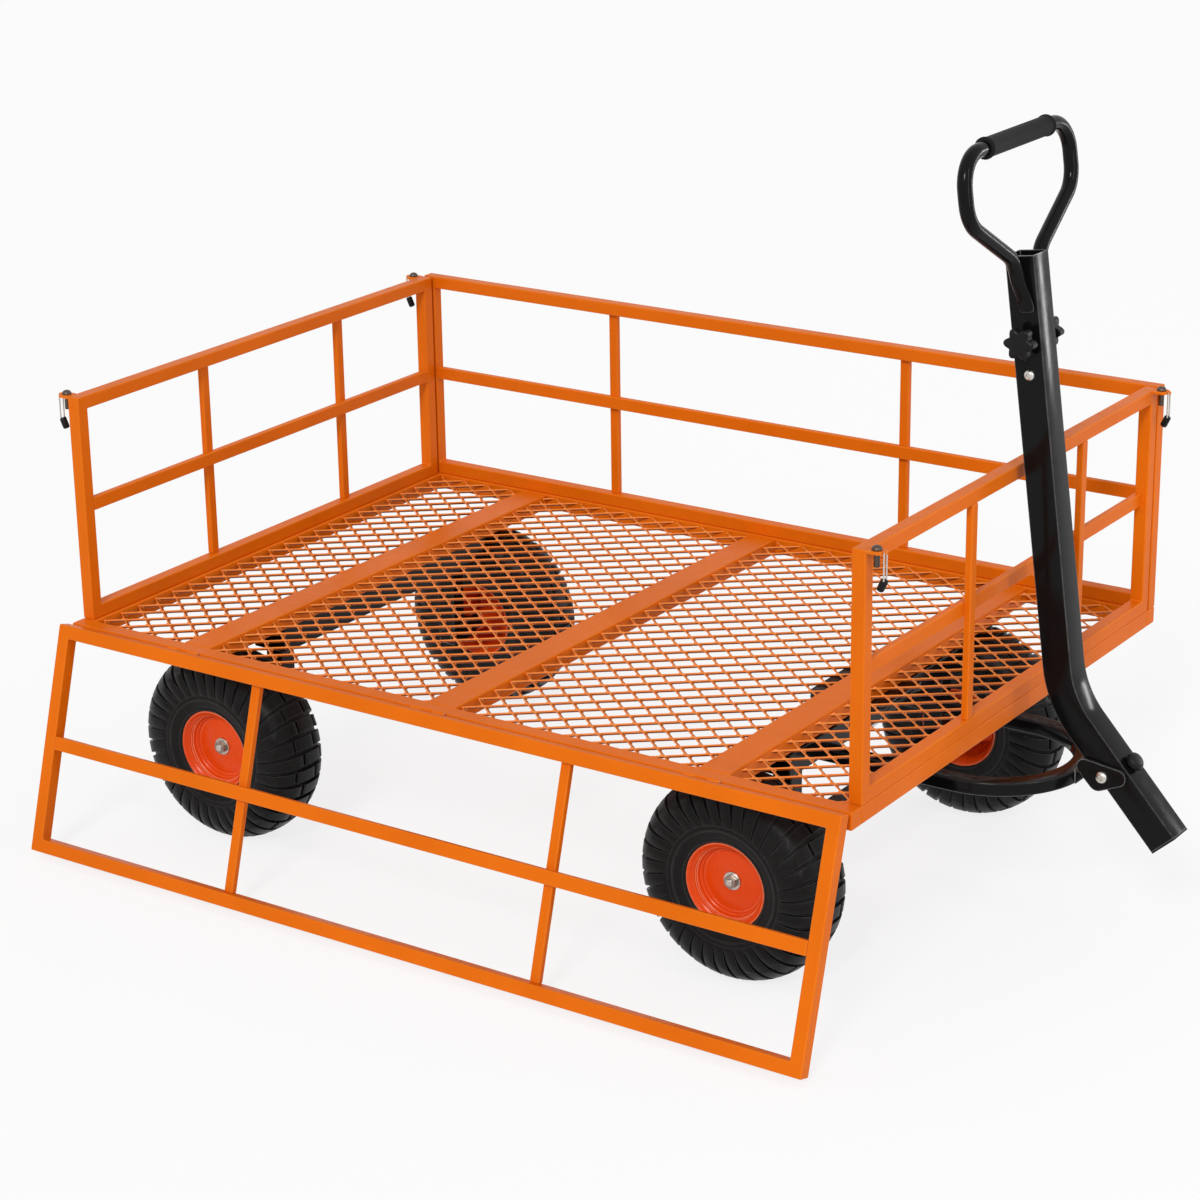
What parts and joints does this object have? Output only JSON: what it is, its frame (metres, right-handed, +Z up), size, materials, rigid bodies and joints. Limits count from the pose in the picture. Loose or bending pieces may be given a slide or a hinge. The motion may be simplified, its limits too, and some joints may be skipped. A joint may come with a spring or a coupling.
{
  "type": "garden wagon",
  "caption": "Garden wagon with an expanded-metal deck, tube side panels, a drop-down side gate, pneumatic wheels, a turning front axle and a tilting pull handle.",
  "frame": {"origin": "middle of the deck's top face, on the middle cross bar", "axes": "+X toward the handle end, -Y toward the side with the dropped gate, +Z up"},
  "size_m": [1.5966, 1.0216, 1.1212],
  "materials": {
    "orange_coat": "satin powder coat",
    "rim_coat": "gloss paint",
    "black_coat": "semi-gloss powder coat",
    "tyre_rubber": "matt rubber",
    "zinc_steel": "zinc plated",
    "dark_steel": "dark coated",
    "black_plastic": "moulded",
    "grip_foam": "matt foam sleeve"
  },
  "bodies": {
    "bed": {"deck_side_rails": "orange_coat", "deck_rail_caps": "orange_coat", "deck_end_rails": "orange_coat", "deck_cross_bars": "orange_coat", "deck_mesh_rear": "orange_coat", "deck_mesh_mid_rear": "orange_coat", "deck_mesh_mid_front": "orange_coat", "deck_mesh_front": "orange_coat", "far_panel_frame": "orange_coat", "far_panel_infill": "orange_coat", "front_panel_frame": "orange_coat", "front_panel_infill": "orange_coat", "rear_panel_frame": "orange_coat", "rear_panel_infill": "orange_coat", "gate_hinge_deck_leaves": "orange_coat", "gate_hinge_pins": "zinc_steel", "latch_ears": "orange_coat", "rear_axle_saddle": "black_coat", "rear_axle_shaft": "zinc_steel", "rear_axle_nuts": "zinc_steel", "turntable_top": "black_coat", "kingpin": "zinc_steel"},
    "gate": {"gate_frame": "orange_coat", "gate_infill": "orange_coat", "gate_hinge_leaves": "orange_coat"},
    "front_axle": {"front_axle_saddle": "black_coat", "front_axle_shaft": "zinc_steel", "front_axle_nuts": "zinc_steel", "steering_yoke": "black_coat", "tongue_bracket": "black_coat", "tongue_pivot_bolt": "zinc_steel"},
    "handle": {"tongue_tube": "black_coat", "tongue_plug": "black_plastic", "front_knob": "black_plastic", "grip_bar": "black_coat", "grip_sleeve": "grip_foam", "tongue_bolts": "zinc_steel"},
    "knob_near": {"star_knob_near": "black_plastic"},
    "knob_far": {"star_knob_far": "black_plastic"},
    "wheel_front_near": {"tyre_front_near": "tyre_rubber", "rim_front_near": "rim_coat"},
    "latch_front_near": {"latch_pin_front_near": "dark_steel"},
    "bail_front_near": {"latch_bail_front_near": "zinc_steel"},
    "wheel_front_far": {"tyre_front_far": "tyre_rubber", "rim_front_far": "rim_coat"},
    "latch_front_far": {"latch_pin_front_far": "dark_steel"},
    "bail_front_far": {"latch_bail_front_far": "zinc_steel"},
    "wheel_rear_near": {"tyre_rear_near": "tyre_rubber", "rim_rear_near": "rim_coat"},
    "latch_rear_near": {"latch_pin_rear_near": "dark_steel"},
    "bail_rear_near": {"latch_bail_rear_near": "zinc_steel"},
    "wheel_rear_far": {"tyre_rear_far": "tyre_rubber", "rim_rear_far": "rim_coat"},
    "latch_rear_far": {"latch_pin_rear_far": "dark_steel"},
    "bail_rear_far": {"latch_bail_rear_far": "zinc_steel"}
  },
  "joints": [
    {"name": "gate_swing", "type": "hinge", "parent": "bed", "child": "gate", "pos_m": [0, -0.4535, 0.0005], "axis": [-1, 0, 0], "range_deg": [0, 163.7]},
    {"name": "steering", "type": "hinge", "parent": "bed", "child": "front_axle", "pos_m": [0.427, 0, -0.04], "axis": [0, 0, 1], "range_deg": [-12, 12]},
    {"name": "handle_tilt", "type": "hinge", "parent": "front_axle", "child": "handle", "pos_m": [0.80383, 0, -0.07014], "axis": [0, 1, 0], "range_deg": [0, 85]},
    {"name": "knob_near_turn", "type": "hinge", "parent": "handle", "child": "knob_near", "pos_m": [0.66898, -0.035, 0.51301], "axis": [0, -1, 0], "continuous": true},
    {"name": "knob_far_turn", "type": "hinge", "parent": "handle", "child": "knob_far", "pos_m": [0.66898, 0.035, 0.51301], "axis": [0, 1, 0], "continuous": true},
    {"name": "wheel_front_near_spin", "type": "hinge", "parent": "front_axle", "child": "wheel_front_near", "pos_m": [0.427, -0.331, -0.186], "axis": [0, 1, 0], "continuous": true},
    {"name": "latch_front_near_lift", "type": "slide", "parent": "bed", "child": "latch_front_near", "axis": [0, 0, 1], "range_m": [0, 0.016]},
    {"name": "bail_front_near_swing", "type": "hinge", "parent": "bed", "child": "bail_front_near", "pos_m": [0.6818, -0.415, 0.33805], "axis": [0, -1, 0], "range_deg": [-3, 90]},
    {"name": "wheel_front_far_spin", "type": "hinge", "parent": "front_axle", "child": "wheel_front_far", "pos_m": [0.427, 0.331, -0.186], "axis": [0, 1, 0], "continuous": true},
    {"name": "latch_front_far_lift", "type": "slide", "parent": "bed", "child": "latch_front_far", "axis": [0, 0, 1], "range_m": [0, 0.016]},
    {"name": "bail_front_far_swing", "type": "hinge", "parent": "bed", "child": "bail_front_far", "pos_m": [0.6818, 0.415, 0.33805], "axis": [0, -1, 0], "range_deg": [-3, 90]},
    {"name": "wheel_rear_near_spin", "type": "hinge", "parent": "bed", "child": "wheel_rear_near", "pos_m": [-0.462, -0.331, -0.186], "axis": [0, 1, 0], "continuous": true},
    {"name": "latch_rear_near_lift", "type": "slide", "parent": "bed", "child": "latch_rear_near", "axis": [0, 0, 1], "range_m": [0, 0.016]},
    {"name": "bail_rear_near_swing", "type": "hinge", "parent": "bed", "child": "bail_rear_near", "pos_m": [-0.6818, -0.415, 0.33805], "axis": [0, 1, 0], "range_deg": [-3, 90]},
    {"name": "wheel_rear_far_spin", "type": "hinge", "parent": "bed", "child": "wheel_rear_far", "pos_m": [-0.462, 0.331, -0.186], "axis": [0, 1, 0], "continuous": true},
    {"name": "latch_rear_far_lift", "type": "slide", "parent": "bed", "child": "latch_rear_far", "axis": [0, 0, 1], "range_m": [0, 0.016]},
    {"name": "bail_rear_far_swing", "type": "hinge", "parent": "bed", "child": "bail_rear_far", "pos_m": [-0.6818, 0.415, 0.33805], "axis": [0, 1, 0], "range_deg": [-3, 90]}
  ]
}
